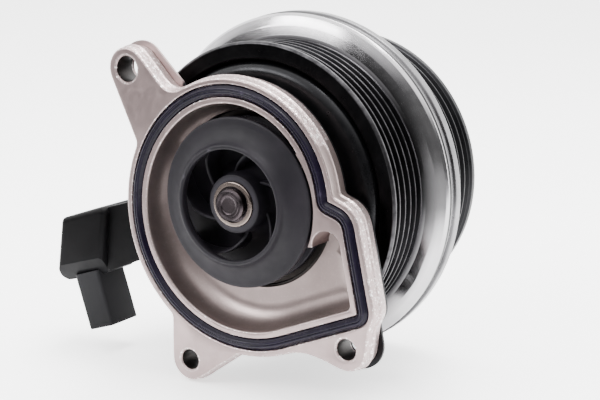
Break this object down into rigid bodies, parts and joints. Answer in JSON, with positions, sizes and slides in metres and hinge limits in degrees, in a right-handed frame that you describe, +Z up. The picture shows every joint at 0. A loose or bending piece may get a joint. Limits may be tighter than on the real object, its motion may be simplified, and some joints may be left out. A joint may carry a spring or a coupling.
{
  "type": "water pump",
  "caption": "Engine coolant pump: die-cast volute with open impeller side, electromagnetic clutch pulley, outer drive pulley and coil connector.",
  "frame": {"origin": "on the shaft axis, in the plane of the housing's sealing face", "axes": "+Y along the shaft from the impeller side towards the pulleys, +Z up as the pump is displayed, +X to the discharge side"},
  "size_m": [0.1421, 0.0797, 0.1222],
  "materials": {
    "cast_aluminium": "die-cast, bead blasted, machined sealing face",
    "seal_rubber": "satin dark rubber",
    "black_plastic": "moulded, satin",
    "impeller_plastic": "moulded, satin, glass filled",
    "bearing_steel": "ground",
    "ball_steel": "polished balls",
    "shaft_steel": "turned",
    "black_steel": "black coated steel",
    "rotor_steel": "turned steel, dark ribs and a polished flange",
    "armature_steel": "turned steel",
    "zinc_steel": "zinc plated",
    "spring_steel": "rolled strip",
    "copper": "enamelled copper wire",
    "seal_ceramic": "lapped ceramic and carbon",
    "friction": "bonded friction material"
  },
  "bodies": {
    "pump_body": {"pump_housing": "cast_aluminium", "housing_seal": "seal_rubber", "seal_cup": "zinc_steel", "seal_stationary_ring": "seal_ceramic", "seal_bellows": "seal_rubber", "seal_spring": "spring_steel", "shaft_bearing_ring": "bearing_steel", "shaft_bearing_seals": "seal_rubber", "rotor_bearing_inner_ring": "bearing_steel", "nose_circlip": "spring_steel", "coil_core": "black_steel", "coil_bobbin": "black_plastic", "coil_winding": "copper", "coil_potting": "black_plastic", "coil_plate": "zinc_steel", "coil_screws": "zinc_steel", "back_plate": "black_steel", "connector_body": "black_plastic", "connector_terminals": "copper"},
    "pump_rotor": {"pump_shaft": "shaft_steel", "impeller_wheel": "impeller_plastic", "impeller_shroud": "impeller_plastic", "impeller_bush": "shaft_steel", "seal_rotating_ring": "seal_ceramic", "drive_hub": "zinc_steel", "drive_pulley": "black_steel", "drive_bolts": "zinc_steel", "leaf_springs": "spring_steel", "pulley_rivets": "zinc_steel"},
    "armature": {"armature_plate": "armature_steel", "armature_rivets": "zinc_steel"},
    "clutch_rotor": {"rotor_pulley": "rotor_steel", "friction_lining": "friction", "rotor_bearing_outer_ring": "bearing_steel", "rotor_bearing_seals": "seal_rubber", "rotor_bearing_clip": "spring_steel"},
    "rotor_bearing_set": {"rotor_bearing_balls": "ball_steel", "rotor_bearing_cages": "black_plastic"},
    "shaft_bearing_set": {"shaft_bearing_balls": "ball_steel", "shaft_bearing_cages": "black_plastic"}
  },
  "joints": [
    {"name": "shaft_spin", "type": "hinge", "parent": "pump_body", "child": "pump_rotor", "pos_m": [0, 0, 0], "axis": [0, 1, 0], "continuous": true},
    {"name": "rotor_spin", "type": "hinge", "parent": "pump_body", "child": "clutch_rotor", "pos_m": [0, 0, 0], "axis": [0, 1, 0], "continuous": true},
    {"name": "shaft_bearing_spin", "type": "hinge", "parent": "pump_body", "child": "shaft_bearing_set", "pos_m": [0, 0, 0], "axis": [0, 1, 0], "continuous": true},
    {"name": "rotor_bearing_spin", "type": "hinge", "parent": "pump_body", "child": "rotor_bearing_set", "pos_m": [0, 0, 0], "axis": [0, 1, 0], "continuous": true},
    {"name": "armature_pull", "type": "slide", "parent": "pump_rotor", "child": "armature", "axis": [0, -1, 0], "range_m": [0, 0.00045], "stiffness_N_per_m": 40000, "deforming": ["leaf_springs"]}
  ],
  "couplings": [
    {"joint": "shaft_bearing_spin", "follows": "shaft_spin", "ratio": 0.3824},
    {"joint": "rotor_bearing_spin", "follows": "rotor_spin", "ratio": 0.5541}
  ]
}
